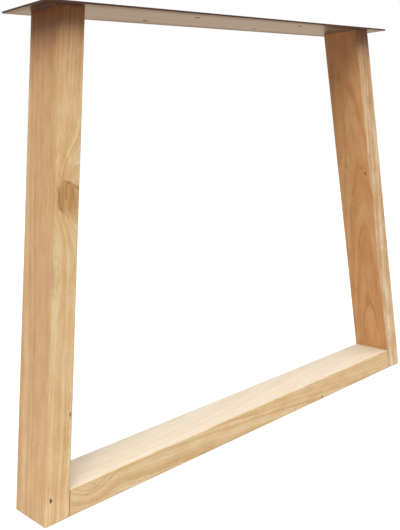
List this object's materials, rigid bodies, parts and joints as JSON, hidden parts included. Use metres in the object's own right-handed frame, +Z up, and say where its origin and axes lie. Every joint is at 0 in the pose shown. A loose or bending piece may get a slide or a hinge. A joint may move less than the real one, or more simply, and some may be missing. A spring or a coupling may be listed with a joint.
{
  "type": "table leg",
  "caption": "Trapezium table leg: two oak uprights leaning in at the top, a flush oak bottom rail and a thin steel head plate drilled for the table top.",
  "frame": {"origin": "on the floor, midway between the feet and midway through the timber's depth", "axes": "+X along the bottom rail towards the right-hand upright, +Y through the timber's depth, +Z up"},
  "size_m": [0.8998, 0.12, 0.72],
  "materials": {
    "oak": "planed and sanded, unfinished, with knots",
    "raw_steel": "mill finish, dull, browned by light rust",
    "beech": "plain, glued",
    "zinc_steel": "zinc plated"
  },
  "bodies": {
    "root": {"left_upright": "oak", "right_upright": "oak", "bottom_rail": "oak", "head_plate": "raw_steel", "joint_dowels": "beech", "plate_screws": "zinc_steel"}
  },
  "joints": []
}
